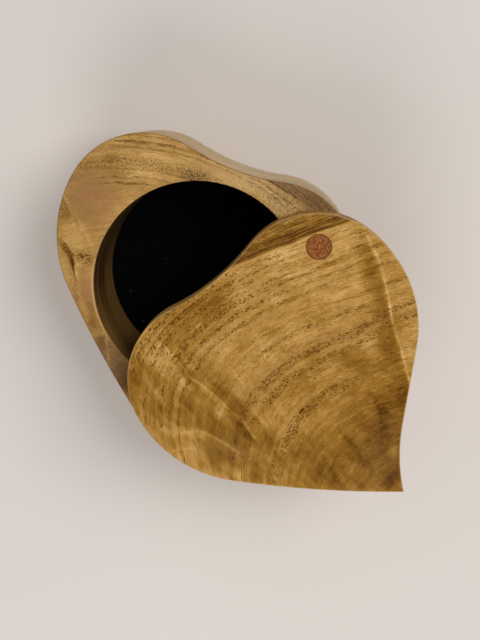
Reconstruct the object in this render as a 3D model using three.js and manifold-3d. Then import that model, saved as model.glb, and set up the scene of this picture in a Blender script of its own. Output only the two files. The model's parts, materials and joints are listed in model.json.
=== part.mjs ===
// A heart-shaped wooden trinket box with a lid that swivels on one peg.
// Millimetres, +Z up. The origin is on the underside, on the axis of the round cavity,
// and the heart's tip points along -Y. The lid is shown swung open.

import * as THREE from 'three';
import { mergeVertices } from 'three/addons/utils/BufferGeometryUtils.js';
import Module from 'manifold-3d';

// The round cavity, and the wooden block around it
const CAVITY_DIAMETER = 76.2;
const BODY_HEIGHT = 41;
const FLOOR_THICKNESS = 5;
const BODY_TOP_EASE = 0.6;
const BODY_BOTTOM_EASE = 1;
const CAVITY_RIM_EASE = 0.3;

// The lid, a plate of the same outline
const LID_THICKNESS = 9.5;
const LID_TOP_EASE = 0.6;
const LID_BOTTOM_EASE = 0.5;
const LID_CLEARANCE = 0.3;
const LID_OPEN_DEGREES = 60;

// The peg that the lid swivels on: glued in the lid, turning in the block
const PEG_DIAMETER = 9;
const PEG_CHAMFER = 0.6;
const PEG_DEPTH_IN_BODY = 20;
const PEG_RUNNING_CLEARANCE = 0.08;
const PEG_GLUE_LINE = 0.04;
const PEG_END_CLEARANCE = 0.6;
const PEG_HOLE_MOUTH_EASE = 0.4;

// The felt disc on the cavity's floor
const FELT_THICKNESS = 1.2;
const FELT_EDGE_CLEARANCE = 0.4;
const FELT_EDGE_ROUNDING = 0.4;

// The peg's place: its direction from the cavity's axis, and the wood left between the two holes
const PEG_DIRECTION_DEGREES = 39.1;
const PEG_WALL = 3.5;

// The heart's outline. Every arc is tangent to the next one, all the way from the tip to the tip.
// A reach is how far a lobe stands out from the cavity's wall, in the lobe's own direction.
const PIVOT_LOBE_DIRECTION_DEGREES = 34.5;
const PIVOT_LOBE_REACH = 20;
const PIVOT_LOBE_RADIUS = 30;
const PIVOT_SHOULDER_RADIUS = 44;
const FREE_LOBE_DIRECTION_DEGREES = 145.4;
const FREE_LOBE_REACH = 22.9;
const FREE_LOBE_RADIUS = 30;
const FREE_SHOULDER_RADIUS = 46;
const NOTCH_RADIUS = 83;

// The flanks run down to the tip, where the wall beside the cavity is thinnest
const FREE_FLANK_DIRECTION_DEGREES = 223.8;
const FREE_FLANK_WALL = 5.7;
const FREE_FLANK_BOW_RADIUS = 385;
const PIVOT_FLANK_DIRECTION_DEGREES = -49.2;
const PIVOT_FLANK_WALL = 2.7;
const TIP_HOLLOW_START = 13;
const TIP_HOLLOW_RADIUS = 73;

// How finely the curves are divided
const OUTLINE_STEP = 1.9;
const EASE_STEPS = 4;
const CAVITY_SEGMENTS = 120;
const PEG_SEGMENTS = 72;
const MIN_ARC_DIVISIONS = 4;

const CAVITY_RADIUS = CAVITY_DIAMETER / 2;
const PEG_RADIUS = PEG_DIAMETER / 2;
const PEG_HOLE_RADIUS = PEG_RADIUS + PEG_RUNNING_CLEARANCE;
const LID_HOLE_RADIUS = PEG_RADIUS + PEG_GLUE_LINE;
const LID_UNDERSIDE = BODY_HEIGHT + LID_CLEARANCE;
const LID_TOP = LID_UNDERSIDE + LID_THICKNESS;
const PEG_FOOT = BODY_HEIGHT - PEG_DEPTH_IN_BODY;
const CUTTER_OVERRUN = 2;

const wasm = await Module();
wasm.setup();

// Plane geometry

function radians(degrees) {
  return THREE.MathUtils.degToRad(degrees);
}

function polar(angle, distance) {
  return new THREE.Vector2(Math.cos(angle) * distance, Math.sin(angle) * distance);
}

function directionTo(from, to) {
  return Math.atan2(to.y - from.y, to.x - from.x);
}

// The anticlockwise turn from one direction to another, from nothing up to a full circle
function turnBetween(from, to) {
  return THREE.MathUtils.euclideanModulo(to - from, 2 * Math.PI);
}

// The point at one distance from a and another from b, to the left of the way from a to b
function triangulate(a, distanceA, b, distanceB) {
  const base = a.distanceTo(b);
  const along = (distanceA ** 2 - distanceB ** 2 + base ** 2) / (2 * base);
  const aside = Math.sqrt(Math.max(distanceA ** 2 - along ** 2, 0));
  const way = directionTo(a, b);
  return a.clone().add(polar(way, along)).add(polar(way + Math.PI / 2, aside));
}

// The heart's outline

function lobeCentre(directionDegrees, reach, radius) {
  return polar(radians(directionDegrees), CAVITY_RADIUS + reach - radius);
}

// The pivot shoulder's centre: its arc touches the pivot lobe and the straight pivot flank
function pivotShoulderCentre(pivotLobe, flankNormal, flankDistance) {
  const lobeToShoulder = PIVOT_SHOULDER_RADIUS - PIVOT_LOBE_RADIUS;
  const lobeDepth = pivotLobe.dot(polar(flankNormal, 1));
  const rise = (flankDistance - PIVOT_SHOULDER_RADIUS - lobeDepth) / lobeToShoulder;
  const way = flankNormal - Math.acos(THREE.MathUtils.clamp(rise, -1, 1));
  return pivotLobe.clone().add(polar(way, lobeToShoulder));
}

// The centres of all the arcs, found from the lobes and the flanks by tangency
function layOutHeart() {
  const freeLobe = lobeCentre(FREE_LOBE_DIRECTION_DEGREES, FREE_LOBE_REACH, FREE_LOBE_RADIUS);
  const pivotLobe = lobeCentre(PIVOT_LOBE_DIRECTION_DEGREES, PIVOT_LOBE_REACH, PIVOT_LOBE_RADIUS);
  const notch = triangulate(
    freeLobe,
    FREE_LOBE_RADIUS + NOTCH_RADIUS,
    pivotLobe,
    PIVOT_LOBE_RADIUS + NOTCH_RADIUS,
  );
  const freeFlank = polar(
    radians(FREE_FLANK_DIRECTION_DEGREES),
    CAVITY_RADIUS + FREE_FLANK_WALL - FREE_FLANK_BOW_RADIUS,
  );
  const freeShoulder = triangulate(
    freeFlank,
    FREE_FLANK_BOW_RADIUS - FREE_SHOULDER_RADIUS,
    freeLobe,
    FREE_SHOULDER_RADIUS - FREE_LOBE_RADIUS,
  );
  const flankNormal = radians(PIVOT_FLANK_DIRECTION_DEGREES);
  const flankDistance = CAVITY_RADIUS + PIVOT_FLANK_WALL;
  const pivotShoulder = pivotShoulderCentre(pivotLobe, flankNormal, flankDistance);
  const tipHollow = polar(flankNormal, flankDistance + TIP_HOLLOW_RADIUS)
    .add(polar(flankNormal - Math.PI / 2, TIP_HOLLOW_START));
  return { freeLobe, pivotLobe, notch, freeFlank, freeShoulder, flankNormal, pivotShoulder, tipHollow };
}

const HEART = layOutHeart();

// A convex arc loses the inset from its radius, and turns anticlockwise round the heart
function convexArc(centre, radius, inset, from, to) {
  return { centre, radius: radius - inset, from, turn: turnBetween(from, to) };
}

// A hollow arc gains the inset, and turns clockwise round a centre outside the heart
function hollowArc(centre, radius, inset, from, to) {
  return { centre, radius: radius + inset, from, turn: -turnBetween(to, from) };
}

// The arcs in order, anticlockwise from the tip, drawn in by an inset that keeps them parallel
function heartArcs(inset) {
  const h = HEART;
  const tip = triangulate(
    h.tipHollow,
    TIP_HOLLOW_RADIUS + inset,
    h.freeFlank,
    FREE_FLANK_BOW_RADIUS - inset,
  );
  const shoulderToLobe = directionTo(h.pivotShoulder, h.pivotLobe);
  const lobeToNotch = directionTo(h.pivotLobe, h.notch);
  const freeLobeToNotch = directionTo(h.freeLobe, h.notch);
  const freeShoulderToLobe = directionTo(h.freeShoulder, h.freeLobe);
  const flankToShoulder = directionTo(h.freeFlank, h.freeShoulder);
  return [
    hollowArc(h.tipHollow, TIP_HOLLOW_RADIUS, inset,
      directionTo(h.tipHollow, tip), h.flankNormal + Math.PI),
    convexArc(h.pivotShoulder, PIVOT_SHOULDER_RADIUS, inset, h.flankNormal, shoulderToLobe),
    convexArc(h.pivotLobe, PIVOT_LOBE_RADIUS, inset, shoulderToLobe, lobeToNotch),
    hollowArc(h.notch, NOTCH_RADIUS, inset, lobeToNotch + Math.PI, freeLobeToNotch + Math.PI),
    convexArc(h.freeLobe, FREE_LOBE_RADIUS, inset, freeLobeToNotch, freeShoulderToLobe),
    convexArc(h.freeShoulder, FREE_SHOULDER_RADIUS, inset, freeShoulderToLobe, flankToShoulder),
    convexArc(h.freeFlank, FREE_FLANK_BOW_RADIUS, inset,
      flankToShoulder, directionTo(h.freeFlank, tip)),
  ];
}

const ARC_DIVISIONS = heartArcs(0).map((arc) => {
  const length = arc.radius * Math.abs(arc.turn);
  return Math.max(MIN_ARC_DIVISIONS, Math.round(length / OUTLINE_STEP));
});

// Points round the heart. The tip hollow keeps its last point, where the straight flank starts;
// every other arc leaves its last point to the arc that follows.
function heartOutline(inset) {
  return heartArcs(inset).flatMap((arc, index) => {
    const divisions = ARC_DIVISIONS[index];
    const count = index === 0 ? divisions + 1 : divisions;
    return Array.from({ length: count }, (_, i) => {
      const angle = arc.from + (arc.turn * i) / divisions;
      return arc.centre.clone().add(polar(angle, arc.radius));
    });
  });
}

// Solids

// The levels of a plate with a quarter-round on its lower and upper edge
function easedLevels(bottom, top, bottomEase, topEase) {
  const levels = [];
  for (let i = 0; i <= EASE_STEPS; i += 1) {
    const angle = (Math.PI / 2) * (i / EASE_STEPS);
    levels.push({
      inset: bottomEase * (1 - Math.sin(angle)),
      z: bottom + bottomEase * (1 - Math.cos(angle)),
    });
  }
  for (let i = 0; i <= EASE_STEPS; i += 1) {
    const angle = (Math.PI / 2) * (i / EASE_STEPS);
    levels.push({
      inset: topEase * (1 - Math.cos(angle)),
      z: top - topEase * (1 - Math.sin(angle)),
    });
  }
  return levels;
}

// A closed skin through the heart's outline at each level, with a flat face at both ends
function loftHeart(levels) {
  const rings = levels.map((level) => heartOutline(level.inset));
  const count = rings[0].length;
  const positions = rings.flatMap((ring, k) => ring.flatMap((p) => [p.x, p.y, levels[k].z]));
  const indices = [];
  for (let k = 0; k < rings.length - 1; k += 1) {
    for (let i = 0; i < count; i += 1) {
      const a = k * count + i;
      const b = k * count + ((i + 1) % count);
      indices.push(a, b, b + count);
      indices.push(a, b + count, a + count);
    }
  }
  const lastRing = (rings.length - 1) * count;
  for (const [a, b, c] of THREE.ShapeUtils.triangulateShape(rings[0], [])) {
    indices.push(a, c, b);
  }
  for (const [a, b, c] of THREE.ShapeUtils.triangulateShape(rings[rings.length - 1], [])) {
    indices.push(lastRing + a, lastRing + b, lastRing + c);
  }
  const geometry = new THREE.BufferGeometry();
  geometry.setAttribute('position', new THREE.Float32BufferAttribute(positions, 3));
  geometry.setIndex(indices);
  return geometry;
}

// A turned shape that stands on +Z, from a profile of [radius, height] that starts and ends on the axis
function turned(profile, segments) {
  const points = profile.map(([radius, height]) => new THREE.Vector2(radius, height));
  return new THREE.LatheGeometry(points, segments).rotateX(Math.PI / 2);
}

// The profile of a drill that eases the mouth of its hole, from the hole's floor up
function drillProfile(radius, floor, mouth, mouthEase) {
  const rim = [];
  for (let i = 0; i <= EASE_STEPS; i += 1) {
    const angle = (Math.PI / 2) * (i / EASE_STEPS);
    rim.push([
      radius + mouthEase * (1 - Math.cos(angle)),
      mouth - mouthEase * (1 - Math.sin(angle)),
    ]);
  }
  const overrun = mouth + CUTTER_OVERRUN;
  return [[0, floor], [radius, floor], ...rim, [radius + mouthEase, overrun], [0, overrun]];
}

function toSolid(geometry) {
  const bare = geometry.clone();
  bare.deleteAttribute('normal');
  bare.deleteAttribute('uv');
  const merged = mergeVertices(bare);
  const triangles = [];
  const index = merged.getIndex().array;
  for (let i = 0; i < index.length; i += 3) {
    const [a, b, c] = index.slice(i, i + 3);
    if (a !== b && b !== c && c !== a) {
      triangles.push(a, b, c);
    }
  }
  return new wasm.Manifold(new wasm.Mesh({
    numProp: 3,
    vertProperties: new Float32Array(merged.getAttribute('position').array),
    triVerts: new Uint32Array(triangles),
  }));
}

function toGeometry(solid) {
  const mesh = solid.getMesh();
  const geometry = new THREE.BufferGeometry();
  geometry.setAttribute('position', new THREE.BufferAttribute(mesh.vertProperties, 3));
  geometry.setIndex(new THREE.BufferAttribute(mesh.triVerts, 1));
  return geometry;
}

function finishedGeometry(geometry) {
  const flat = geometry.toNonIndexed();
  flat.computeVertexNormals();
  return flat;
}

const PEG_AXIS = polar(
  radians(PEG_DIRECTION_DEGREES),
  CAVITY_RADIUS + PEG_WALL + PEG_HOLE_RADIUS,
);

// The block: the heart, with the round cavity and the peg's blind hole drilled from above
function makeBody() {
  const block = loftHeart(easedLevels(0, BODY_HEIGHT, BODY_BOTTOM_EASE, BODY_TOP_EASE));
  const cavity = turned(
    drillProfile(CAVITY_RADIUS, FLOOR_THICKNESS, BODY_HEIGHT, CAVITY_RIM_EASE),
    CAVITY_SEGMENTS,
  );
  const pegHole = turned(
    drillProfile(PEG_HOLE_RADIUS, PEG_FOOT - PEG_END_CLEARANCE, BODY_HEIGHT, PEG_HOLE_MOUTH_EASE),
    PEG_SEGMENTS,
  ).translate(PEG_AXIS.x, PEG_AXIS.y, 0);
  return toGeometry(toSolid(block).subtract(toSolid(cavity)).subtract(toSolid(pegHole)));
}

// The lid in its closed place: the same heart as a plate, drilled right through for the peg
function makeLid() {
  const plate = loftHeart(easedLevels(LID_UNDERSIDE, LID_TOP, LID_BOTTOM_EASE, LID_TOP_EASE));
  const hole = turned([
    [0, LID_UNDERSIDE - CUTTER_OVERRUN],
    [LID_HOLE_RADIUS, LID_UNDERSIDE - CUTTER_OVERRUN],
    [LID_HOLE_RADIUS, LID_TOP + CUTTER_OVERRUN],
    [0, LID_TOP + CUTTER_OVERRUN],
  ], PEG_SEGMENTS).translate(PEG_AXIS.x, PEG_AXIS.y, 0);
  return toGeometry(toSolid(plate).subtract(toSolid(hole)));
}

// The peg: flush with the lid's top, its foot chamfered to start in the hole
function makePeg() {
  return turned([
    [0, PEG_FOOT],
    [PEG_RADIUS - PEG_CHAMFER, PEG_FOOT],
    [PEG_RADIUS, PEG_FOOT + PEG_CHAMFER],
    [PEG_RADIUS, LID_TOP],
    [0, LID_TOP],
  ], PEG_SEGMENTS).translate(PEG_AXIS.x, PEG_AXIS.y, 0);
}

// The felt: a disc that lies loose-edged on the cavity's floor
function makeFelt() {
  const radius = CAVITY_RADIUS - FELT_EDGE_CLEARANCE;
  const top = FLOOR_THICKNESS + FELT_THICKNESS;
  return turned([
    [0, FLOOR_THICKNESS],
    [radius, FLOOR_THICKNESS],
    [radius, top - FELT_EDGE_ROUNDING],
    [radius - FELT_EDGE_ROUNDING, top],
    [0, top],
  ], CAVITY_SEGMENTS);
}

// The pieces

function makePiece(name, geometry, color, roughness) {
  const material = new THREE.MeshStandardMaterial({ color, roughness, metalness: 0 });
  const mesh = new THREE.Mesh(finishedGeometry(geometry), material);
  mesh.name = name;
  return mesh;
}

const box = new THREE.Group();
box.add(makePiece('box_body', makeBody(), 0xb08a52, 0.5));
box.add(makePiece('cavity_liner', makeFelt(), 0x08090b, 1));

// The lid and its peg swing together about the peg's axis
const swing = new THREE.Group();
swing.position.set(PEG_AXIS.x, PEG_AXIS.y, 0);
swing.rotation.z = radians(LID_OPEN_DEGREES);
for (const piece of [
  makePiece('lid', makeLid(), 0xb98f50, 0.45),
  makePiece('pivot_peg', makePeg(), 0x9a5f38, 0.55),
]) {
  piece.position.set(-PEG_AXIS.x, -PEG_AXIS.y, 0);
  swing.add(piece);
}
box.add(swing);

export default box;
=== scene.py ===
import json
import math
from collections import namedtuple

import bmesh
import bpy
from mathutils import Euler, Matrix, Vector


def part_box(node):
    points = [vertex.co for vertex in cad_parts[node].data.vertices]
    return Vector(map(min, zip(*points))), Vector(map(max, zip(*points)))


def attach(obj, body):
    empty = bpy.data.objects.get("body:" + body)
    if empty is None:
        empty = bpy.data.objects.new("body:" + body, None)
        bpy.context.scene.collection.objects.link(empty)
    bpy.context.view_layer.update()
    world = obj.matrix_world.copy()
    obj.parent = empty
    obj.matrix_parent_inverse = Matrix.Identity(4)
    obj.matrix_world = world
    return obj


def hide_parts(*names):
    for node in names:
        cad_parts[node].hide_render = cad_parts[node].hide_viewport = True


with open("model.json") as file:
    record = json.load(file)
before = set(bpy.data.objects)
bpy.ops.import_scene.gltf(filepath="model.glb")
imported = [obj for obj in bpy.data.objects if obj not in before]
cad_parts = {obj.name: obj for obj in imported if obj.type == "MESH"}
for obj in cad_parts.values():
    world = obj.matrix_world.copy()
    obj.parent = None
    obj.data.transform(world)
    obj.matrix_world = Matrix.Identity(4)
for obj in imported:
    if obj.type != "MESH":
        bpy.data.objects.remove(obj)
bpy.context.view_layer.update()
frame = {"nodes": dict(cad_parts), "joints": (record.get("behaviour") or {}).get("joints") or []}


# Camera
# It looks down almost along the lid's swivel axis, from a little behind the notch,
# and is rolled so that the block's tip leans to the left, as the box was photographed.

# Sizes are in millimetres and turns in degrees. Only the floor, the lights and the camera's
# clipping are in metres.
MM = 0.001
CAMERA_PLACE = (11.33, 69.06, 359.07)
CAMERA_TURN = (-13.10, 3.07, 18.29)
CAMERA_LENS = 50.5

scene = bpy.context.scene
scene.view_settings.view_transform = "Standard"
camera_data = bpy.data.cameras.new("photo_camera")
camera_data.lens = CAMERA_LENS
camera_data.sensor_width = 36.0
camera_data.clip_start = 0.01
camera_data.clip_end = 20.0
camera = bpy.data.objects.new("photo_camera", camera_data)
camera.location = Vector(CAMERA_PLACE) * MM
camera.rotation_euler = Euler([math.radians(angle) for angle in CAMERA_TURN])
scene.collection.objects.link(camera)
scene.camera = camera


# Floor and studio light
# The box stands on a plain off-white sheet. A broad panel high at the upper right throws the box's
# soft shadow to the lower left. Weaker ones light the sheet in front, the left and the notch side.

FLOOR_SPAN = 6.0
FLOOR_COLOUR = (0.70, 0.655, 0.625, 1.0)
FLOOR_ROUGHNESS = 0.9
FLOOR_SPECULAR = 0.2
SKY_COLOUR = (0.95, 0.94, 0.92, 1.0)
SKY_STRENGTH = 0.31

floor_mesh = bpy.data.meshes.new("floor")
floor_shape = bmesh.new()
bmesh.ops.create_grid(floor_shape, x_segments=1, y_segments=1, size=FLOOR_SPAN / 2)
floor_shape.to_mesh(floor_mesh)
floor_shape.free()
floor = bpy.data.objects.new("floor", floor_mesh)
scene.collection.objects.link(floor)
floor_finish = bpy.data.materials.new("off_white_sheet")
floor_finish.use_nodes = True
floor_shader = floor_finish.node_tree.nodes["Principled BSDF"]
floor_shader.inputs["Base Color"].default_value = FLOOR_COLOUR
floor_shader.inputs["Roughness"].default_value = FLOOR_ROUGHNESS
floor_shader.inputs["Specular IOR Level"].default_value = FLOOR_SPECULAR
floor_mesh.materials.append(floor_finish)


def soft_light(name, place, size, power, colour):
    """A square panel of light at a place in metres, turned to face the box."""
    data = bpy.data.lights.new(name, "AREA")
    data.shape = "SQUARE"
    data.size = size
    data.energy = power
    data.color = colour
    lamp = bpy.data.objects.new(name, data)
    lamp.location = place
    lamp.rotation_euler = (-Vector(place)).to_track_quat("-Z", "Y").to_euler()
    scene.collection.objects.link(lamp)


soft_light("key_light", (0.6, 0.65, 1.05), 0.8, 11.0, (1.0, 0.97, 0.93))
soft_light("floor_light", (0.15, -0.75, 0.55), 0.6, 4.0, (1.0, 0.97, 0.94))
soft_light("fill_light", (-0.9, -0.1, 0.6), 0.7, 0.8, (0.97, 0.98, 1.0))
soft_light("notch_light", (-0.7, 0.8, 0.22), 0.4, 1.6, (0.98, 0.98, 1.0))

world = bpy.data.worlds.new("studio")
world.use_nodes = True
world.node_tree.nodes["Background"].inputs["Color"].default_value = SKY_COLOUR
world.node_tree.nodes["Background"].inputs["Strength"].default_value = SKY_STRENGTH
scene.world = world


# Block
# The heart-shaped block of figured hardwood, sawn to the outline, bored with one wide round cavity
# and oiled. Its grain runs across the lobes, and a dark streak of heartwood crosses the pivot lobe.

# How near to each other corners are merged, and the angles up to which facets count as flat and
# from which an edge counts as sharp
WELD_DISTANCE = 0.002
NEARLY_FLAT = 0.05
SHARP_EDGE = 30.0


def dressed_copy(node, name):
    """A smooth-shaded copy of a CAD node's mesh, with its sharp edges kept sharp."""
    shape = bmesh.new()
    shape.from_mesh(frame["nodes"][node].data)
    bmesh.ops.remove_doubles(shape, verts=shape.verts, dist=WELD_DISTANCE * MM)
    bmesh.ops.dissolve_limit(
        shape,
        angle_limit=math.radians(NEARLY_FLAT),
        verts=shape.verts,
        edges=shape.edges,
    )
    for face in shape.faces:
        face.smooth = True
    for edge in shape.edges:
        edge.smooth = edge.calc_face_angle(0.0) < math.radians(SHARP_EDGE)
    bmesh.ops.triangulate(shape, faces=[face for face in shape.faces if len(face.verts) > 4])
    mesh = bpy.data.meshes.new(name)
    shape.to_mesh(mesh)
    shape.free()
    piece = bpy.data.objects.new(name, mesh)
    scene.collection.objects.link(piece)
    flats = piece.modifiers.new("level_flats", "WEIGHTED_NORMAL")
    flats.keep_sharp = True
    return piece


def shade(colour):
    """A colour given as 0 to 255 on a screen, as the linear light that a shader takes."""
    linear = [(part / 255.0 + 0.055) / 1.055 for part in colour]
    return (*[max(part, 0.0) ** 2.4 for part in linear], 1.0)


class Signal:
    """A number at every point of a surface. Sums of signals draw the figure of the wood."""

    def __init__(self, finish, socket):
        self.finish = finish
        self.socket = socket

    def __add__(self, other):
        return self.finish.maths("ADD", self, other)

    def __radd__(self, other):
        return self.finish.maths("ADD", other, self)

    def __sub__(self, other):
        return self.finish.maths("SUBTRACT", self, other)

    def __rsub__(self, other):
        return self.finish.maths("SUBTRACT", other, self)

    def __mul__(self, other):
        return self.finish.maths("MULTIPLY", self, other)

    def __rmul__(self, other):
        return self.finish.maths("MULTIPLY", other, self)

    def above(self, level):
        """The higher of the signal and a level."""
        return self.finish.maths("MAXIMUM", self, level)

    def below(self, level):
        """The lower of the signal and a level."""
        return self.finish.maths("MINIMUM", self, level)

    def root(self):
        return self.finish.maths("SQRT", self)

    def rise(self, low, high):
        """A smooth step from 0 to 1 as the signal goes from low to high."""
        node = self.finish.add("ShaderNodeMapRange", interpolation_type="SMOOTHSTEP")
        self.finish.feed(node.inputs["Value"], self)
        node.inputs["From Min"].default_value = low
        node.inputs["From Max"].default_value = high
        return Signal(self.finish, node.outputs["Result"])

    def curve(self, stops, start=0.0):
        """A smooth curve through stops of (signal past the start, height), level beyond its ends."""
        low = stops[0][0]
        high = stops[-1][0]
        share = (self - (start + low)) * (1.0 / (high - low))
        node = self.finish.add("ShaderNodeFloatCurve")
        points = node.mapping.curves[0].points
        while len(points) < len(stops):
            points.new(0.5, 0.5)
        for point, (at, height) in zip(points, stops):
            point.location = ((at - low) / (high - low), height)
            point.handle_type = "AUTO_CLAMPED"
        node.mapping.extend = "HORIZONTAL"
        node.mapping.update()
        self.finish.feed(node.inputs["Value"], share)
        return Signal(self.finish, node.outputs["Value"])


class Finish:
    """One material, with short names for the nodes that draw its pattern in millimetres."""

    def __init__(self, name):
        self.material = bpy.data.materials.new(name)
        self.material.use_nodes = True
        self.tree = self.material.node_tree
        self.shader = self.tree.nodes["Principled BSDF"]
        coordinates = self.add("ShaderNodeTexCoord")
        scale = self.add("ShaderNodeMapping")
        scale.inputs["Scale"].default_value = (1.0 / MM, 1.0 / MM, 1.0 / MM)
        self.tree.links.new(coordinates.outputs["Object"], scale.inputs["Vector"])
        self.place = Signal(self, scale.outputs["Vector"])

    def add(self, kind, **settings):
        node = self.tree.nodes.new(kind)
        for key, value in settings.items():
            setattr(node, key, value)
        return node

    def feed(self, socket, value):
        if isinstance(value, Signal):
            self.tree.links.new(value.socket, socket)
        else:
            socket.default_value = value

    def maths(self, operation, *values):
        node = self.add("ShaderNodeMath", operation=operation)
        for socket, value in zip(node.inputs, values):
            self.feed(socket, value)
        return Signal(self, node.outputs["Value"])

    def parts(self, place):
        """The x, y and z of a place."""
        node = self.add("ShaderNodeSeparateXYZ")
        self.feed(node.inputs["Vector"], place)
        return [Signal(self, socket) for socket in node.outputs]

    def joined(self, x, y, z):
        node = self.add("ShaderNodeCombineXYZ")
        for socket, value in zip(node.inputs, (x, y, z)):
            self.feed(socket, value)
        return Signal(self, node.outputs["Vector"])

    def scaled(self, place, factor):
        node = self.add("ShaderNodeVectorMath", operation="SCALE")
        self.feed(node.inputs["Vector"], place)
        node.inputs["Scale"].default_value = factor
        return Signal(self, node.outputs["Vector"])

    def stretched(self, across, grain, per_mm):
        """A place across the grain, along it and down, with so many units to the millimetre."""
        return self.joined(across * per_mm[0], grain.along * per_mm[1], grain.z * per_mm[2])

    def local(self, place, centre, turn, size, depth=1000.0):
        """A place measured from a centre, along axes turned by some degrees, in units of size."""
        node = self.add("ShaderNodeMapping", vector_type="TEXTURE")
        self.feed(node.inputs["Vector"], place)
        node.inputs["Location"].default_value = (*centre, 0.0)
        node.inputs["Rotation"].default_value = (0.0, 0.0, math.radians(turn))
        node.inputs["Scale"].default_value = (*size, depth)
        return Signal(self, node.outputs["Vector"])

    def noise(self, place, detail=2.0, roughness=0.5):
        """Soft random hills about one unit across, from -1 to 1 and mostly within a third of 0."""
        node = self.add("ShaderNodeTexNoise")
        self.feed(node.inputs["Vector"], place)
        node.inputs["Scale"].default_value = 1.0
        node.inputs["Detail"].default_value = detail
        node.inputs["Roughness"].default_value = roughness
        return (Signal(self, node.outputs["Fac"]) - 0.5) * 2.0

    def hills(self, per_mm, detail=2.0, roughness=0.5):
        """Noise that is alike in every direction, with so many hills to the millimetre."""
        return self.noise(self.scaled(self.place, per_mm), detail, roughness)

    def pores(self, place, plenty, width):
        """Open pores, one in each cell about a unit across, where there are plenty of them."""
        node = self.add("ShaderNodeTexVoronoi")
        self.feed(node.inputs["Vector"], place)
        node.inputs["Scale"].default_value = 1.0
        node.inputs["Randomness"].default_value = 1.0
        lot, bulk, _ = self.parts(Signal(self, node.outputs["Color"]))
        size = ((plenty - lot) * 4.0).above(0.0).below(1.0) * (bulk * 0.5 + 0.7)
        depth = size * width - Signal(self, node.outputs["Distance"])
        return depth.rise(-0.08, 0.14)

    def soft_oval(self, place, centre, size, turn=0.0):
        """A soft oval patch, from 1 in its middle to 0 at its rim."""
        spot = self.local(place, centre, turn, size)
        node = self.add("ShaderNodeTexGradient", gradient_type="SPHERICAL")
        self.feed(node.inputs["Vector"], spot)
        return Signal(self, node.outputs["Fac"]).rise(0.0, 1.0)

    def spots(self, place, ovals):
        """Several soft ovals, each a (centre, size, turn), and the stronger where two overlap."""
        spots = self.soft_oval(place, *ovals[0])
        for oval in ovals[1:]:
            spots = spots.above(self.soft_oval(place, *oval))
        return spots

    def patched(self, tone, place, patches):
        """The tone with soft patches on it, each a (centre, size, turn, change of tone)."""
        for centre, size, turn, change in patches:
            tone = tone + self.soft_oval(place, centre, size, turn) * change
        return tone

    def crease(self, place, start, end, bow, section):
        """A ripple in the grain from start to end, whose middle is bowed to the left by bow.

        Its section gives the tone, as 0.5 plus the change, at each distance to its left.
        """
        length = math.hypot(end[0] - start[0], end[1] - start[1])
        turn = math.degrees(math.atan2(end[1] - start[1], end[0] - start[0]))
        along, left, _ = self.parts(self.local(place, start, turn, (length, 1.0)))
        offset = left - (along - along * along) * (4.0 * bow)
        fade = along.rise(-0.1, 0.1) * along.rise(1.1, 0.85)
        return (offset.curve(section) - 0.5) * fade

    def creased(self, tone, place, creases):
        """The tone with creases in it, each a (start, end, bow, section)."""
        for start, end, bow, section in creases:
            tone = tone + self.crease(place, start, end, bow, section)
        return tone

    def tint(self, base, colour, amount):
        """One colour laid over another, as far as the amount says."""
        node = self.add("ShaderNodeMix", data_type="RGBA")
        self.feed(node.inputs["Factor"], amount)
        for socket, value in ((node.inputs[6], base), (node.inputs[7], colour)):
            self.feed(socket, value if isinstance(value, Signal) else shade(value))
        return Signal(self, node.outputs[2])

    def graded(self, tone, stops):
        """The colour for each tone, through stops of (tone, colour)."""
        node = self.add("ShaderNodeValToRGB")
        elements = node.color_ramp.elements
        while len(elements) < len(stops):
            elements.new(0.5)
        for element, (at, colour) in zip(elements, stops):
            element.position = at
            element.color = shade(colour)
        self.feed(node.inputs["Fac"], tone)
        return Signal(self, node.outputs["Color"])

    def surfaced(self, colour, roughness, specular, height, relief):
        """The finished material. A height of 1 stands out by the relief, in millimetres."""
        self.feed(self.shader.inputs["Base Color"], colour)
        self.shader.inputs["Roughness"].default_value = roughness
        self.shader.inputs["Specular IOR Level"].default_value = specular
        bump = self.add("ShaderNodeBump")
        bump.inputs["Distance"].default_value = relief * MM
        self.feed(bump.inputs["Height"], height)
        self.tree.links.new(bump.outputs["Normal"], self.shader.inputs["Normal"])
        return self.material


# A point in the wood, in millimetres: its x, y and z, how far it lies across and along the growth
# rings, the same distance across with a swirl in it, and a place that strays by up to 2 mm, which
# gives patches uneven rims.
Grain = namedtuple("Grain", "x y z ring along swirl astray")

# How many bands, fibres or pores there are to the millimetre across the grain, along it and down
RING_BANDS = (0.45, 0.04, 0.1)
FIBRES = (1.2, 0.13, 1.2)
FINE_FIBRES = (3.0, 0.8, 3.0)


def plain_figure(finish, grain, coarse):
    """The tone of the wood without its marks: clouds, growth rings, and fibres where it is coarse."""
    clouds = finish.hills(0.16, 3.0, 0.55)
    rings = finish.noise(finish.stretched(grain.swirl, grain, RING_BANDS), 2.0)
    fibres = finish.noise(finish.stretched(grain.swirl, grain, FIBRES), 3.0, 0.65)
    fine = finish.noise(finish.stretched(grain.swirl, grain, FINE_FIBRES), 2.0, 0.7)
    soft = clouds * 0.2 + rings * 0.16 + fibres * (clouds * 0.5 + coarse)
    return soft + fine * (coarse * 0.6 + 0.2)


# The colour of the oiled wood at each tone, from its darkest lines to its palest sapwood
WOOD_TONES = [
    (0.0, (62, 33, 0)),
    (0.2, (107, 68, 8)),
    (0.5, (151, 109, 40)),
    (0.8, (194, 152, 85)),
    (1.0, (221, 184, 122)),
]
PORE_COLOUR = (90, 49, 0)

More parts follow.
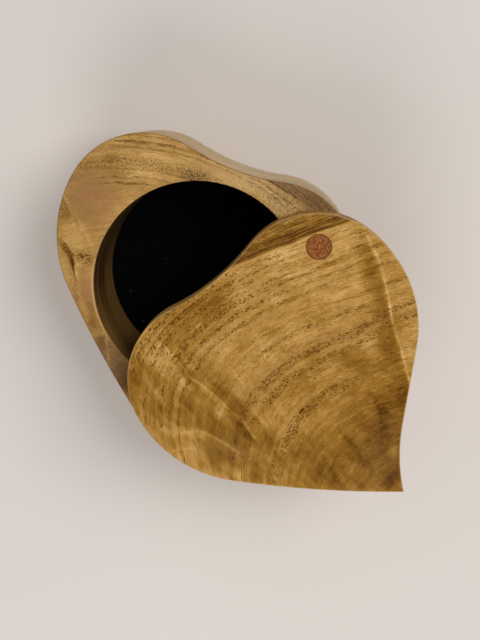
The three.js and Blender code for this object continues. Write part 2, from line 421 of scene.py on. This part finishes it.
# Sections of creases: the tone, 0.5 being no change, at each distance in millimetres to the left
RIDGE = [
    (-8.0, 0.5), (-5.0, 0.44), (-1.6, 0.37), (-0.8, 0.43), (-0.3, 0.6),
    (0.1, 0.72), (0.5, 0.62), (1.0, 0.55), (3.0, 0.51), (6.0, 0.5),
]
FAINT_CREASE = [
    (-4.0, 0.5), (-2.0, 0.47), (-0.6, 0.46), (-0.2, 0.52),
    (0.1, 0.61), (0.5, 0.57), (1.2, 0.53), (4.0, 0.5),
]
DARK_STREAK = [
    (-2.4, 0.5), (-1.3, 0.4), (-0.7, 0.16), (0.5, 0.14), (0.9, 0.24), (1.3, 0.52), (3.0, 0.5),
]
DARK_LINE = [
    (-1.6, 0.5), (-0.6, 0.42), (-0.2, 0.26), (0.2, 0.3),
    (0.5, 0.6), (0.8, 0.68), (1.2, 0.56), (2.4, 0.5),
]

# The block's rings curve about its pith, whose place and mean distance are in millimetres,
# and they lean outwards by so much to the millimetre as they go down
BLOCK_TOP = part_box("box_body")[1].z / MM
BLOCK_PITH = (-12.0, -53.0)
BLOCK_MEAN_RING = 85.0
RING_LEAN = 0.35
BLOCK_TONE = 0.66
BLOCK_COARSENESS = 0.26
CAVITY_RADIUS = 38.1

# The heartwood lies beyond this ring, where x is over this many millimetres
HEARTWOOD_RING = 99.6
HEARTWOOD_FROM = 7.0

# Lighter and darker patches on the block's top, from its free lobe down the flank to the tip, and
# then by the notch: centre, size, turn in degrees and change of tone. Some are painted shade or
# painted light, as marked below.
BLOCK_PATCHES = (
    ((-24.0, 40.5), (14.0, 3.0), 4.0, 0.12),
    ((-29.0, 33.0), (9.0, 3.5), 15.0, 0.14),
    ((-42.0, 34.0), (9.0, 4.0), 20.0, -0.06),
    # Painted shade over the left flank
    ((-49.0, 18.0), (18.0, 26.0), -20.0, -0.28),
    ((-52.0, 11.5), (5.0, 2.2), -45.0, -0.2),
    ((-48.0, 4.0), (7.0, 6.0), -40.0, 0.2),
    ((-41.0, -10.0), (4.0, 8.0), 20.0, -0.12),
    # Painted shade low on the flank
    ((-37.0, -19.0), (6.0, 11.0), 40.0, -0.38),
    ((-38.5, -19.0), (1.6, 9.0), 37.0, 0.22),
    ((-32.5, -25.5), (4.5, 3.0), 0.0, -0.2),
    # Painted shade over the lower flank and by the tip, where the lid's shadow falls, in these three
    ((-28.0, -31.0), (16.0, 9.0), -45.0, -0.24),
    ((-18.0, -39.0), (18.0, 12.0), -45.0, -0.52),
    ((-14.0, -43.0), (10.0, 8.0), -45.0, -0.2),
    ((4.0, 41.0), (20.0, 6.0), -8.0, 0.1),
    # Partly painted light: the pale wood by the notch, lightened further where the lid's shadow falls
    ((20.0, 37.5), (14.0, 7.0), -22.0, 0.3),
)

# Creases down the block's free flank to its tip: start, end, bow and section
BLOCK_CREASES = (
    ((-57.5, 17.5), (-50.0, 9.5), 0.2, RIDGE),
    ((-51.0, 11.5), (-40.0, 0.0), 1.2, FAINT_CREASE),
    ((-56.0, 13.0), (-48.0, 5.5), 0.3, FAINT_CREASE),
    ((-52.4, 0.2), (-44.3, -8.0), 0.5, DARK_STREAK),
    ((-46.9, -4.6), (-42.4, -12.6), 0.2, DARK_LINE),
    ((-45.5, -4.5), (-36.0, -24.0), -0.6, FAINT_CREASE),
    ((-26.5, -29.0), (-23.0, -38.5), 0.4, RIDGE),
)

# The eyed knot on the free flank, and the soft ovals that the tints, the pores and the painted
# highlight on the cavity's rim keep to: centre, size and turn in degrees
KNOT = ((-42.2, -3.4), (6.2, 3.4), -12.0)
KNOT_EYE = ((-42.1, -3.9), (1.8, 1.5), 0.0)
PALE_OVALS = (((6.0, 43.0), (30.0, 9.0), 0.0), ((20.0, 37.5), (16.0, 8.0), -22.0))
PINK_OVALS = (((-46.0, 19.0), (16.0, 16.0), 0.0), ((-37.5, -14.0), (7.0, 11.0), 0.0))
HAZE_OVAL = ((-22.0, -37.0), (20.0, 12.0), -45.0)
MOSS_OVAL = ((-13.0, 37.5), (8.0, 4.2), 10.0)
NOTCH_PORES = ((19.0, 37.5), (17.0, 9.0), -25.0)
EDGE_PORES = ((-42.3, -16.5), (3.0, 6.5), 38.0)
RIM_HIGHLIGHT_OVAL = ((-35.0, -17.0), (12.0, 24.0), 25.0)

PALE_WOOD = (186, 155, 110)
PINK_WOOD = (160, 116, 78)
HAZY_WOOD = (146, 118, 82)
GREY_HEARTWOOD = (122, 95, 68)
MOSSY_STAIN = (74, 62, 32)
# Painted highlight on the cavity's rim, painted shade on the block's arris, painted sheen on its notch
# side, and the dark wall of the cavity with painted light on it
RIM_HIGHLIGHT_COLOUR = (200, 166, 116)
ARRIS_SHADE = (126, 88, 30)
NOTCH_SIDE_SHEEN = (196, 182, 154)
CAVITY_SHADE = (36, 21, 6)
CAVITY_PAINTED_LIGHT = (150, 112, 60)

ARC_BANDS = (0.8, 0.01, 0.8)
BLOCK_STREAKS = (1.8, 0.12, 1.8)
BLOCK_DASHES = (1.7, 0.3, 1.7)
BLOCK_DOTS = (2.1, 1.5, 2.1)

# How dark the fine lines along the block's rings are, and how many pores lie there, at each
# distance in millimetres from the pith
BLOCK_LINES = [
    (80.0, 0.0), (83.2, 0.1), (83.9, 0.7), (84.6, 0.1), (85.3, 0.2), (85.9, 0.8), (86.5, 0.1),
    (88.2, 0.1), (88.8, 0.7), (89.4, 0.2), (95.8, 0.1), (96.5, 0.9), (97.1, 0.1), (97.7, 0.5),
    (98.3, 1.0), (98.9, 0.3), (99.7, 0.2), (100.4, 1.0), (101.2, 0.2), (104.0, 0.1),
]
BLOCK_PORES = [
    (40.0, 0.25), (60.0, 0.25), (75.0, 0.1), (84.0, 0.15), (88.0, 0.3), (89.5, 0.75), (91.0, 1.0),
    (92.5, 0.7), (94.0, 0.2), (97.0, 0.3), (102.0, 0.4), (110.0, 0.5),
]

# The painted highlight on the cavity's rim by the distance outside its wall, the painted shade on the
# block's arris by the height from its top, downwards being less than 0, and the painted light and
# shade on the cavity's wall by the height over the block's base
RIM_HIGHLIGHT = [(0.1, 0.0), (0.3, 0.6), (0.6, 0.5), (1.1, 0.0)]
BLOCK_ARRIS = [(-0.7, 0.0), (-0.45, 1.0), (-0.15, 1.0), (-0.03, 0.0)]
CAVITY_LIGHT = [
    (5.0, 0.7), (12.0, 0.6), (20.0, 0.4), (26.0, 0.06),
    (30.0, 0.1), (34.0, 0.36), (37.0, 0.28), (41.0, 0.5),
]


def block_grain(finish):
    """The grain of the block, whose rings curve about its pith."""
    x, y, z = finish.parts(finish.place)
    waver = finish.hills(0.07) * 2.0
    from_pith_x = x - BLOCK_PITH[0]
    from_pith_y = y - BLOCK_PITH[1]
    from_pith = (from_pith_x * from_pith_x + from_pith_y * from_pith_y).root()
    ring = from_pith + waver * 0.3 + (z - BLOCK_TOP) * RING_LEAN
    along = finish.maths("ARCTAN2", from_pith_x, from_pith_y) * BLOCK_MEAN_RING
    swirl = ring + finish.hills(0.15) * 1.2
    astray = finish.joined(x + waver, y - waver, z)
    return Grain(x, y, z, ring, along, swirl, astray)


def block_marks(finish, grain, tone, speckle):
    """The tone with the block's patches, creases, speckled knot and faint arcs on its free lobe."""
    tone = finish.patched(tone, grain.astray, BLOCK_PATCHES)
    shiver = finish.hills(0.12, 1.0)
    shaken = finish.joined(grain.x + shiver, grain.y + shiver, grain.z)
    tone = finish.creased(tone, shaken, BLOCK_CREASES)
    tone = tone - finish.soft_oval(finish.place, *KNOT) * (speckle * 2.0 + 0.5)
    tone = tone + finish.soft_oval(finish.place, *KNOT_EYE) * 0.4
    arcs = finish.noise(finish.stretched(grain.ring, grain, ARC_BANDS), 1.0)
    return tone + arcs * grain.ring.rise(74.0, 76.0) * grain.ring.rise(82.0, 78.0) * 0.16


def block_tints(finish, grain, tone, heart, colour):
    """The colour with the pale wood by the notch, the pink and hazy flank and the grey heartwood."""
    pale = finish.spots(grain.astray, PALE_OVALS)
    colour = finish.tint(colour, PALE_WOOD, (pale * 0.45 + 0.2) * tone.rise(0.1, 0.5))
    pink = finish.spots(grain.astray, PINK_OVALS)
    colour = finish.tint(colour, PINK_WOOD, pink * 0.7)
    haze = finish.soft_oval(grain.astray, *HAZE_OVAL)
    colour = finish.tint(colour, HAZY_WOOD, haze * 0.5)
    return finish.tint(colour, GREY_HEARTWOOD, heart * 0.6)


def block_pores(finish, grain, drift, lines):
    """Long pores along the dark lines, and short ones in bands, by the notch and on the flank."""
    band = drift.curve(BLOCK_PORES)
    dashes = finish.pores(finish.stretched(drift, grain, BLOCK_DASHES), lines * 0.95, 0.42)
    by_notch = finish.soft_oval(grain.astray, *NOTCH_PORES)
    by_edge = finish.soft_oval(finish.place, *EDGE_PORES)
    plenty = band * 0.9 + lines * 0.3 + by_notch * 0.7 + by_edge * 1.2
    dots = finish.pores(finish.stretched(grain.swirl, grain, BLOCK_DOTS), plenty, 0.4)
    return dashes.above(dots)


def block_sides(finish, grain, colour):
    """The colour with painted highlight on the cavity's rim, painted shade on the block's arris,
    painted sheen on its notch side, and the cavity's wall.
    """
    from_axis = (grain.x * grain.x + grain.y * grain.y).root()
    # Painted highlight on the cavity's rim
    rim_highlight = from_axis.curve(RIM_HIGHLIGHT, CAVITY_RADIUS)
    rim_highlight = rim_highlight * finish.soft_oval(finish.place, *RIM_HIGHLIGHT_OVAL)
    colour = finish.tint(colour, RIM_HIGHLIGHT_COLOUR, rim_highlight)
    # The cavity's wall, dark with painted light on it
    in_cavity = finish.maths("LESS_THAN", from_axis, CAVITY_RADIUS + 0.2)
    in_cavity = in_cavity * grain.z.rise(BLOCK_TOP - 0.1, BLOCK_TOP - 0.5)
    outside = from_axis.rise(CAVITY_RADIUS + 0.9, CAVITY_RADIUS + 1.9)
    # Painted shade on the block's arris
    painted_arris = grain.z.curve(BLOCK_ARRIS, BLOCK_TOP) * outside
    colour = finish.tint(colour, ARRIS_SHADE, painted_arris * 0.6)
    # Painted sheen on the block's notch side
    notch_side_sheen = grain.z.rise(BLOCK_TOP - 0.5, BLOCK_TOP - 0.8) * grain.y.rise(5.0, 30.0) * outside
    colour = finish.tint(colour, NOTCH_SIDE_SHEEN, notch_side_sheen * 0.4)
    return finish.tint(colour, cavity_wall(finish, grain), in_cavity * 0.92)


def cavity_wall(finish, grain):
    """The cavity's dark wall with faint tool marks, and painted light on it, weakest in a band part way
    down and palest towards the tip.
    """
    light = grain.z.curve(CAVITY_LIGHT)
    tool_marks = finish.noise(finish.joined(grain.x * 0.03, grain.y * 0.03, grain.z * 0.45), 3.0, 0.6)
    near_tip = grain.y.rise(-4.0, -28.0)
    lit = light * grain.y.rise(24.0, -22.0) * (0.8 - near_tip * 0.5)
    lit = lit + near_tip * 0.45 + grain.y.rise(-22.0, -34.0) * 0.4
    lit = lit + tool_marks * 0.5 - 0.15
    return finish.tint(CAVITY_SHADE, CAVITY_PAINTED_LIGHT, lit)


def block_wood():
    """Honey-brown wood with the block's own marks, satin with oil."""
    finish = Finish("block_wood")
    grain = block_grain(finish)
    tone = BLOCK_TONE + plain_figure(finish, grain, BLOCK_COARSENESS)
    speckle = finish.hills(2.2, 2.0, 0.6)
    tone = block_marks(finish, grain, tone, speckle)
    heart_edge = grain.ring - (grain.x - 12.0) * 0.09
    heart = heart_edge.rise(HEARTWOOD_RING, HEARTWOOD_RING + 0.5)
    heart = heart * grain.x.rise(HEARTWOOD_FROM, HEARTWOOD_FROM + 4.0)
    streaks = finish.noise(finish.stretched(grain.ring, grain, BLOCK_STREAKS), 3.0, 0.65)
    tone = tone - heart * (0.21 + streaks * 0.8 + speckle * 0.9)
    drift = grain.ring + finish.hills(0.12) * 0.6
    lines = drift.curve(BLOCK_LINES) * grain.x.rise(-50.0, -42.0)
    tone = tone - lines * (streaks.rise(-0.4, 0.2) * 0.26)
    colour = finish.graded(tone, WOOD_TONES)
    colour = block_tints(finish, grain, tone, heart, colour)
    pores = block_pores(finish, grain, drift, lines)
    colour = finish.tint(colour, PORE_COLOUR, pores * 0.7)
    moss = finish.soft_oval(grain.astray, *MOSS_OVAL) * speckle.rise(-0.15, 0.15)
    colour = finish.tint(colour, MOSSY_STAIN, (moss * 1.4).below(0.9))
    colour = block_sides(finish, grain, colour)
    return finish.surfaced(colour, roughness=0.45, specular=0.1, height=pores * -1.0, relief=0.06)


block = dressed_copy("box_body", "heart_block")
block.data.materials.append(block_wood())
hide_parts("box_body")
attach(block, "box")


# Felt
# A disc of black felt, cut a little smaller than the cavity and laid on its floor.
# A few pale specks of dust lie on it.

FELT_BLACK = (4, 4, 6)
FELT_NAP = (12, 13, 16)
DUST_COLOUR = (86, 98, 90)
DUST_SIZE = (0.6, 0.5)
DUST = (
    ((-26.4, -17.9), 0.4),
    ((-17.9, -28.0), 0.9),
    ((-16.6, -0.6), 0.3),
)


def black_felt():
    """Matt black felt with a fine raised nap."""
    finish = Finish("black_felt")
    nap = finish.hills(2.5, 3.0)
    colour = finish.tint(FELT_BLACK, FELT_NAP, nap.rise(-0.2, 0.4))
    for centre, strength in DUST:
        speck = finish.soft_oval(finish.place, centre, DUST_SIZE) * strength
        colour = finish.tint(colour, DUST_COLOUR, speck)
    return finish.surfaced(colour, roughness=1.0, specular=0.05, height=nap, relief=0.15)


felt = dressed_copy("cavity_liner", "felt_disc")
felt.data.materials.append(black_felt())
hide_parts("cavity_liner")
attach(felt, "box")


# Lid
# A plate of the same wood, cut to the same heart, its edges just broken with sandpaper.
# Rows of open pores sweep across it, and dark heartwood runs along its notch edge.

# The lid's rings run straight at this turn to the x axis, in degrees, as far as a slanting line.
# Past it, in the free lobe, they bend, a little more so the further they lie from the notch edge.
LID_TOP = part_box("lid")[1].z / MM
LID_GRAIN_TURN = 40.0
LID_BEND_START = 29.9
LID_BEND_SHIFT = 0.31
LID_BEND = 0.00295
LID_BEND_GROWTH = 0.00008
LID_TONE = 0.67
LID_COARSENESS = 0.18

# Lighter and darker patches: centre, size, turn in degrees and change of tone
LID_PATCHES = (
    # By the notch edge
    ((8.0, -3.0), (11.0, 8.0), 30.0, -0.14),
    ((3.0, -10.0), (14.0, 22.0), -20.0, -0.18),
    # Round the peg and along the ridge
    ((37.0, 20.0), (9.0, 9.0), 0.0, 0.14),
    ((27.0, 22.0), (20.0, 9.0), 40.0, 0.1),
    ((45.0, 30.0), (10.0, 12.0), 0.0, 0.1),
    ((49.0, 16.0), (8.0, 9.0), 0.0, 0.06),
    ((46.0, 37.0), (7.0, 5.0), 0.0, 0.08),
    ((53.0, 22.0), (5.0, 6.0), 0.0, 0.1),
    ((56.0, 26.0), (14.0, 5.5), -60.0, -0.16),
    ((70.0, 3.0), (15.0, 6.5), -60.0, -0.22),
    ((70.5, 13.0), (4.0, 7.0), 20.0, -0.16),
    # Across the middle
    ((62.0, -6.0), (16.0, 7.0), 5.0, -0.16),
    ((60.0, -6.0), (11.0, 6.0), 0.0, -0.1),
    ((48.0, -9.0), (5.0, 9.0), 20.0, -0.16),
    ((44.0, -24.0), (18.0, 12.0), 35.0, -0.12),
    ((37.0, -29.0), (5.0, 12.0), -15.0, -0.12),
    # The dark wood towards the tip
    ((88.0, -32.0), (50.0, 42.0), 0.0, -0.38),
    ((80.0, -12.0), (9.0, 9.0), 0.0, -0.12),
    ((82.0, -11.0), (4.0, 6.0), 20.0, -0.14),
    ((79.0, -17.0), (9.0, 20.0), 8.0, -0.1),
    ((78.0, -20.0), (3.5, 3.0), 0.0, -0.16),
    ((74.0, -27.0), (11.0, 4.0), -40.0, -0.1),
    ((81.5, -29.5), (6.0, 9.0), 10.0, -0.12),
    ((76.0, -31.5), (2.0, 3.0), 0.0, -0.1),
    ((79.5, -37.0), (2.6, 2.6), 0.0, -0.1),
    ((73.0, -37.0), (9.0, 2.2), -40.0, -0.06),
    ((89.0, -42.0), (5.0, 5.0), 0.0, -0.2),
    ((88.0, -43.0), (7.0, 9.0), 0.0, -0.16),
    ((67.0, -44.0), (2.6, 8.0), 0.0, -0.1),
    ((67.0, -47.0), (9.0, 6.0), 0.0, -0.08),
    # Lighter gaps in the dark wood
    ((86.0, -32.0), (3.5, 6.0), 15.0, 0.16),
    ((85.5, -33.0), (3.5, 3.5), 0.0, 0.2),
    ((65.0, -33.0), (6.0, 4.0), 0.0, 0.14),
    ((76.0, -45.0), (6.0, 4.0), 0.0, 0.14),
    # The lower flank
    ((50.0, -50.0), (44.0, 20.0), 8.0, -0.24),
    ((48.0, -47.0), (5.0, 10.0), 0.0, 0.08),
    ((53.0, -44.0), (6.0, 6.0), 0.0, -0.12),
    ((43.0, -41.0), (10.0, 4.0), -20.0, -0.12),
    ((38.0, -42.0), (14.0, 4.5), -20.0, -0.1),
    ((42.0, -58.0), (5.0, 6.0), 0.0, -0.12),
    # The rippled free lobe
    ((4.0, -42.0), (46.0, 24.0), -8.0, -0.24),
    ((30.0, -38.0), (10.0, 6.0), -25.0, -0.16),
    ((27.0, -34.5), (13.0, 5.0), -25.0, -0.18),
    ((15.0, -26.0), (14.0, 6.0), -30.0, -0.14),
    ((10.0, -31.5), (10.0, 3.0), -35.0, -0.14),
    ((11.0, -36.0), (5.0, 5.0), 0.0, -0.08),
    ((10.0, -43.0), (4.0, 8.0), 0.0, -0.08),
    ((24.0, -47.0), (9.0, 2.5), -12.0, -0.08),
    ((26.0, -54.0), (9.0, 5.0), -10.0, -0.14),
    ((31.0, -56.0), (10.0, 6.0), 0.0, -0.14),
    ((-11.0, -36.0), (6.0, 8.0), 0.0, -0.1),
    ((-4.0, -27.0), (12.0, 6.0), -10.0, 0.12),
    ((13.0, -51.0), (10.0, 3.5), 15.0, 0.16),
    ((17.0, -58.5), (7.0, 6.0), 0.0, 0.18),
)

# A smoky tint towards the tip and by the lower edge, and one long open pore in the middle:
# centre, size and turn in degrees
SMOKE_OVALS = (((84.0, -36.0), (18.0, 26.0), 0.0), ((29.0, -52.0), (14.0, 9.0), 0.0))
GASH = ((49.7, -28.9), (2.6, 0.7), 68.0)

BROWN_HEARTWOOD = (98, 62, 32)
SMOKY_WOOD = (118, 86, 50)
DUSKY_WOOD = (130, 88, 34)
EDGE_HIGHLIGHT = (208, 172, 118)

# The ripples of the free lobe: their turn, how long and wide they are, and how deep
RIPPLE_TURN = -30.0
RIPPLE_SIZE = (10.0, 3.0)
RIPPLE_DEPTH = 9.0

# How many bands, streaks or pores there are to the millimetre, as on the block
ROPES = (0.8, 0.12, 0.8)
BROAD_BANDS = (0.55, 0.02, 0.5)
LID_STREAKS = (2.0, 0.1, 2.0)
CHAINS = (0.8, 0.04, 0.8)
LID_LONG_PORES = (2.1, 0.28, 2.1)
LID_SHORT_PORES = (2.2, 0.85, 2.2)
LID_DOTS = (2.1, 1.0, 2.1)

# More sections of creases, given as the block's are
BRIGHT_CREASE = [
    (-9.0, 0.5), (-6.0, 0.46), (-3.0, 0.41), (-1.2, 0.41), (-0.5, 0.5),
    (0.0, 0.66), (0.5, 0.6), (1.2, 0.54), (3.0, 0.53), (7.0, 0.5),
]
SOFT_SHADE = [(-5.0, 0.5), (-2.0, 0.43), (0.0, 0.34), (1.2, 0.42), (3.0, 0.5)]
DARK_FOLD = [(-2.0, 0.5), (-0.9, 0.36), (0.3, 0.32), (0.9, 0.4), (1.5, 0.5)]

# Creases: start, end, bow and section
LID_CREASES = (
    # The long ridge from the pivot lobe to the tip's hollow
    ((50.0, 38.0), (68.0, 13.5), 1.6, RIDGE),
    ((65.5, 18.0), (84.0, -8.5), -0.3, RIDGE),
    # The fold across the free lobe
    ((9.5, -31.0), (-7.5, -21.0), 0.0, BRIGHT_CREASE),
    ((0.0, -24.6), (10.5, -33.2), 0.0, DARK_FOLD),
    ((28.0, -39.0), (7.0, -30.0), -0.8, BRIGHT_CREASE),
    ((26.0, -37.0), (38.0, -45.0), 0.3, BRIGHT_CREASE),
    ((24.0, -37.5), (39.0, -46.5), 0.0, SOFT_SHADE),
    ((20.0, -22.0), (27.0, -27.5), 0.5, FAINT_CREASE),
    ((21.0, -4.5), (32.0, -16.0), 0.6, FAINT_CREASE),
    # By the lower edge
    ((18.0, -48.3), (9.0, -53.0), -0.6, FAINT_CREASE),
    ((34.0, -52.0), (16.0, -48.0), -0.4, BRIGHT_CREASE),
    ((9.0, -60.5), (17.0, -56.0), 0.3, FAINT_CREASE),
    ((47.0, -45.0), (57.0, -48.5), 0.4, FAINT_CREASE),
    ((46.0, -54.0), (50.0, -58.0), 0.0, FAINT_CREASE),
    # In the dark wood by the tip
    ((64.0, -31.5), (79.0, -41.0), 0.8, SOFT_SHADE),
    ((70.0, -14.0), (80.0, -26.0), 1.0, SOFT_SHADE),
)

# The heartwood, the pale line beside it and the fine lines of the notch edge, by the ring
LID_HEART = [
    (-14.0, 0.4), (-11.5, 0.7), (-9.0, 0.55), (-6.0, 1.0), (-4.4, 0.95), (-3.6, 0.05), (-2.0, 0.0),
]
PALE_LINE = [(-4.2, 0.0), (-3.2, 0.1), (-2.0, 0.08), (0.5, 0.0)]
EDGE_LINES = [
    (-3.4, 0.0), (-2.9, 0.5), (-2.4, 0.0), (-2.0, 0.2), (-1.6, 1.0), (-1.2, 0.1), (-0.8, 0.5),
    (-0.4, 0.0), (0.0, 0.3), (0.3, 1.0), (0.7, 0.1), (1.3, 0.5), (1.8, 0.0),
]

# The rows of open pores: the ring that each follows, half its width, and how full of pores it is.
# At its edge a row is nearly empty, and this share of its width is full.
PORE_ROWS = (
    (-1.9, 1.4, 0.9), (0.7, 0.9, 1.0), (2.9, 1.2, 0.7), (5.5, 0.8, 0.7),
    (7.7, 1.3, 1.0), (11.1, 1.0, 0.85), (14.2, 0.9, 0.85), (16.5, 0.6, 0.3),
    (21.3, 0.9, 0.6), (23.3, 0.6, 0.4), (25.8, 1.2, 0.85), (27.8, 0.6, 0.5),
    (34.0, 1.9, 1.1), (38.6, 1.8, 0.75), (42.8, 0.8, 0.25), (49.9, 2.4, 1.0),
)
ROW_EDGE = 0.05
ROW_CORE = 0.4

# The dusky band that follows one of the rows, by the ring, and the painted highlight on the lid's
# arris by the height from its top
DUSKY_BAND = [(29.5, 0.0), (32.3, 1.0), (34.5, 1.0), (36.5, 0.0)]
LID_ARRIS = [(-0.8, 0.0), (-0.55, 1.0), (-0.15, 1.0), (-0.01, 0.0)]


def lid_grain(finish):
    """The grain of the lid, whose rings run straight past the peg and bend in the free lobe."""
    x, y, z = finish.parts(finish.place)
    waver = finish.hills(0.07) * 2.0
    forward = math.cos(math.radians(LID_GRAIN_TURN))
    sideways = math.sin(math.radians(LID_GRAIN_TURN))
    along = x * forward + y * sideways
    across = x * sideways - y * forward
    bend = (across * LID_BEND_SHIFT + LID_BEND_START - along).above(0.0)
    bent = across - bend * bend * (across * LID_BEND_GROWTH + LID_BEND)
    ring = bent + waver * 0.3 + (z - LID_TOP) * RING_LEAN
    swirl = ring + finish.hills(0.15) * 1.4
    astray = finish.joined(x + waver, y - waver, z)
    return Grain(x, y, z, ring, along, swirl, astray)


def lid_marks(finish, grain, tone, lower, upper):
    """The tone with the lid's patches, ripples, ropy rings, broad bands and creases."""
    tone = finish.patched(tone, grain.astray, LID_PATCHES)
    rippled = finish.local(grain.astray, (0.0, 0.0), RIPPLE_TURN, RIPPLE_SIZE, RIPPLE_DEPTH)
    tone = tone + finish.noise(rippled, 3.0, 0.55) * (lower * 0.24 + 0.04)
    ropes = finish.noise(finish.stretched(grain.swirl, grain, ROPES), 3.0, 0.6)
    tone = tone - ropes.rise(0.1, 0.34) * upper * 0.15
    bands = finish.noise(finish.stretched(grain.ring, grain, BROAD_BANDS), 2.0, 0.6)
    tone = tone + bands * (1.0 - upper) * 0.12
    shiver = finish.hills(0.1, 1.0) * 0.7
    shaken = finish.joined(grain.x + shiver, grain.y + shiver, grain.z)
    creases = finish.creased(0.0, shaken, LID_CREASES)
    return tone + creases * (finish.hills(0.3) + 0.95)


def pore_rows(finish, grain):
    """How full of pores the wood is, in rows that sway, and that bend towards the far flank."""
    sway = finish.hills(0.3) * 0.5
    far_bend = grain.along.rise(42.0, 66.0) * grain.ring.rise(24.0, 32.0) * 4.0
    stops = [(-6.0, 0.7), (-4.0, 0.3)]
    for centre, half_width, plenty in PORE_ROWS:
        core = half_width * ROW_CORE
        stops += [(centre - half_width, ROW_EDGE), (centre - core, plenty)]
        stops += [(centre + core, plenty), (centre + half_width, ROW_EDGE)]
    return (grain.ring + sway + far_bend).curve(stops)


def thinned_rows(finish, grain, leaning, rows, strings):
    """The rows, sparse low on the free lobe, with the last one and the middle ones fading out."""
    ring = grain.ring
    along = grain.along
    shown = leaning.rise(-40.0, -24.0).above(ring.rise(43.0, 47.0))
    sparse = (1.0 - shown) * (strings * 0.6 + 0.22)
    row_ends = along.rise(32.0, 48.0).above(along.rise(15.0, 4.0) * 0.5)
    faded = 1.0 - ring.rise(44.0, 47.0) * row_ends * 0.8
    faded = faded - ring.rise(17.0, 20.0) * ring.rise(30.0, 28.0) * along.rise(24.0, 10.0) * 0.6
    return rows * (shown + sparse) * faded


def lid_pores(finish, grain, rows, strings):
    """Long pores round the peg, short slanting ones in strings, dots by the notch, and one gash."""
    string_rows = rows * (strings + 0.3)
    long_share = grain.along.rise(10.0, 34.0) * grain.ring.rise(36.0, 22.0)
    long_place = finish.stretched(grain.swirl, grain, LID_LONG_PORES)
    dashes = finish.pores(long_place, rows * long_share * 0.8, 0.42)
    slanted = grain.swirl - grain.along * 0.35
    short_place = finish.stretched(slanted, grain, LID_SHORT_PORES)
    short_plenty = string_rows * 0.8 + rows * grain.ring.rise(22.0, 30.0)
    short_dashes = finish.pores(short_place, short_plenty, 0.44)
    dot_place = finish.stretched(grain.swirl, grain, LID_DOTS)
    dot_plenty = rows * (1.0 - long_share * 0.8) * grain.ring.rise(34.0, 22.0)
    dots = finish.pores(dot_place, dot_plenty, 0.48)
    gash = finish.soft_oval(finish.place, *GASH).rise(0.1, 0.6)
    return (dashes * 0.6).above(short_dashes * 0.85).above(dots * 0.85).above(gash)


def lid_wood():
    """Honey-brown wood with the lid's own marks, sanded a little smoother than the block."""
    finish = Finish("lid_wood")
    grain = lid_grain(finish)
    leaning = grain.y + grain.x * 0.2
    lower = leaning.rise(-10.0, -36.0)
    upper = leaning.rise(-16.0, 2.0)
    tone = lower * 0.03 + LID_TONE + plain_figure(finish, grain, LID_COARSENESS - lower * 0.1)
    tone = lid_marks(finish, grain, tone, lower, upper)
    heart = grain.ring.curve(LID_HEART) * grain.along.rise(-14.0, 4.0)
    streaks = finish.noise(finish.stretched(grain.ring, grain, LID_STREAKS), 3.0, 0.65)
    tone = tone - heart * (0.3 + streaks * 1.0)
    tone = tone + grain.ring.curve(PALE_LINE) * upper
    edge_lines = grain.ring.curve(EDGE_LINES) * grain.along.rise(2.0, -8.0) * grain.y.rise(-33.0, -26.0)
    tone = tone - edge_lines * (streaks.rise(-0.5, 0.1) * 0.22)
    rows = pore_rows(finish, grain)
    tone = tone - rows * (streaks.rise(-0.3, 0.3) * 0.07 + 0.02)
    colour = finish.graded(tone, WOOD_TONES)
    colour = finish.tint(colour, BROWN_HEARTWOOD, heart * 0.3)
    smoke = finish.spots(grain.astray, SMOKE_OVALS)
    colour = finish.tint(colour, SMOKY_WOOD, smoke * 0.3)
    chains = finish.noise(finish.stretched(grain.swirl, grain, CHAINS), 1.0)
    strings = (1.0 - finish.maths("ABSOLUTE", chains) * 9.0).above(0.0)
    rows = thinned_rows(finish, grain, leaning, rows, strings)
    dusk = grain.ring.curve(DUSKY_BAND) * grain.along.rise(-30.0, 0.0)
    colour = finish.tint(colour, DUSKY_WOOD, dusk * 0.22)
    pores = lid_pores(finish, grain, rows, strings)
    colour = finish.tint(colour, PORE_COLOUR, pores)
    # Painted highlight on the lid's arris and painted sheen on its sides
    painted_arris = grain.z.curve(LID_ARRIS, LID_TOP)
    side_sheen = grain.z.rise(LID_TOP - 0.5, LID_TOP - 0.8)
    colour = finish.tint(colour, EDGE_HIGHLIGHT, painted_arris * 0.4 + side_sheen * 0.1)
    return finish.surfaced(colour, roughness=0.42, specular=0.07, height=pores * -1.0, relief=0.04)


lid = dressed_copy("lid", "heart_lid")
lid.data.materials.append(lid_wood())
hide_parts("lid")
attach(lid, "swivel_lid")


# Peg
# A reddish hardwood dowel, glued in the lid, sanded flush, and turning in the block.
# A dark line of glue rings its end grain.

PEG_RADIUS = 4.5
PEG_CENTRE = [part / MM for part in frame["joints"][0]["pos_m"][:2]]

END_GRAIN_DARK = (104, 52, 20)
END_GRAIN_LIGHT = (170, 102, 46)
END_PORE = (40, 18, 4)
GLUE_LINE = (40, 22, 10)


def peg_end_grain():
    """Reddish end grain, full of open pores."""
    finish = Finish("peg_end_grain")
    x, y, z = finish.parts(finish.place)
    tone = finish.noise(finish.joined(x * 1.4, y * 1.4, z * 0.2), 3.0, 0.65)
    colour = finish.tint(END_GRAIN_DARK, END_GRAIN_LIGHT, tone.rise(-0.4, 0.4))
    pores = finish.pores(finish.joined(x * 1.9, y * 1.9, z * 0.1), tone + 0.6, 0.42)
    colour = finish.tint(colour, END_PORE, pores * 0.9)
    from_centre = finish.local(finish.place, PEG_CENTRE, 0.0, (1.0, 1.0))
    out_x, out_y, _ = finish.parts(from_centre)
    glue = (out_x * out_x + out_y * out_y).root().rise(PEG_RADIUS - 0.4, PEG_RADIUS - 0.05)
    colour = finish.tint(colour, GLUE_LINE, glue * 0.8)
    return finish.surfaced(colour, roughness=0.5, specular=0.2, height=pores * -1.0, relief=0.15)


peg = dressed_copy("pivot_peg", "swivel_peg")
peg.data.materials.append(peg_end_grain())
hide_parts("pivot_peg")
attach(peg, "swivel_lid")
